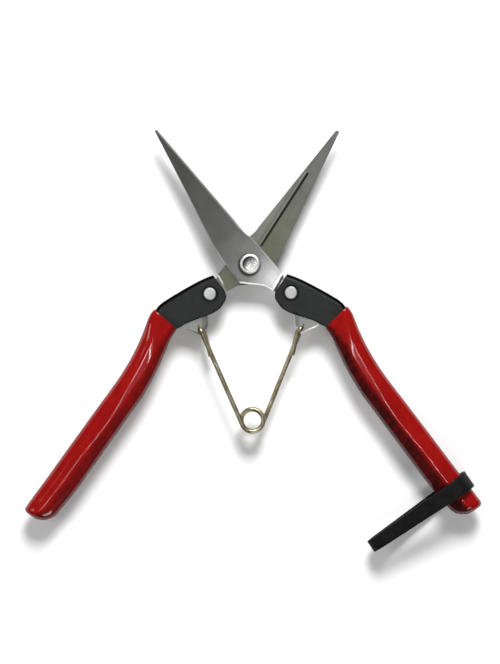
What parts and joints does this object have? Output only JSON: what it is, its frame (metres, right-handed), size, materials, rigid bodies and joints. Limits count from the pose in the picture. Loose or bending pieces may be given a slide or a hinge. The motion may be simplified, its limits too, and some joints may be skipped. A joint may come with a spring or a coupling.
{
  "type": "spring-opened snips",
  "caption": "Long-nosed bypass snips with bowed red grips, a torsion spring between the handles and a strap that holds them shut.",
  "frame": {"origin": "bottom centre of the bounding box, open", "axes": "+X across the open handles toward the handle with the strap, +Y to the blade tips, +Z from the back to the front of the tool"},
  "size_m": [0.1802, 0.1704, 0.0179],
  "materials": {
    "blade_steel": "ground, oiled grey steel",
    "bright_steel": "bright plated steel",
    "black_paint": "satin black paint",
    "red_vinyl": "glossy dipped vinyl",
    "spring_steel": "dark drawn spring wire",
    "black_leather": "smooth black leather"
  },
  "bodies": {
    "right_half": {"front_blade": "blade_steel", "right_handle_frame": "black_paint", "right_grip": "red_vinyl", "right_rivet": "bright_steel", "pivot_bolt": "bright_steel", "pivot_nut": "bright_steel"},
    "left_half": {"back_blade": "blade_steel", "left_handle_frame": "black_paint", "left_grip": "red_vinyl", "left_rivet": "bright_steel"},
    "spring_right_half": {"spring_right": "spring_steel"},
    "spring_left_half": {"spring_left": "spring_steel"},
    "strap": {"closing_strap": "black_leather"}
  },
  "joints": [
    {"name": "pivot", "type": "hinge", "parent": "right_half", "child": "left_half", "pos_m": [0, 0.03087, 0.00895], "axis": [0, 0, 1], "range_deg": [0, 68], "stiffness_Nm_per_rad": 0.8},
    {"name": "spring_right_turn", "type": "hinge", "parent": "right_half", "child": "spring_right_half", "pos_m": [0.0203, 0.00527, 0.00895], "axis": [0, 0, 1], "range_deg": [0, 61]},
    {"name": "spring_left_turn", "type": "hinge", "parent": "left_half", "child": "spring_left_half", "pos_m": [-0.0203, 0.00527, 0.00895], "axis": [0, 0, -1], "range_deg": [0, 61]},
    {"name": "strap_swing", "type": "hinge", "parent": "right_half", "child": "strap", "pos_m": [0.07907, -0.06114, 0.00895], "axis": [-0.5577, 0.83, 0], "range_deg": [0, 35]}
  ],
  "couplings": [
    {"joint": "spring_right_turn", "follows": "pivot", "ratio": 0.87},
    {"joint": "spring_left_turn", "follows": "pivot", "ratio": 0.87},
    {"joint": "strap_swing", "follows": "pivot", "ratio": 0.5}
  ]
}
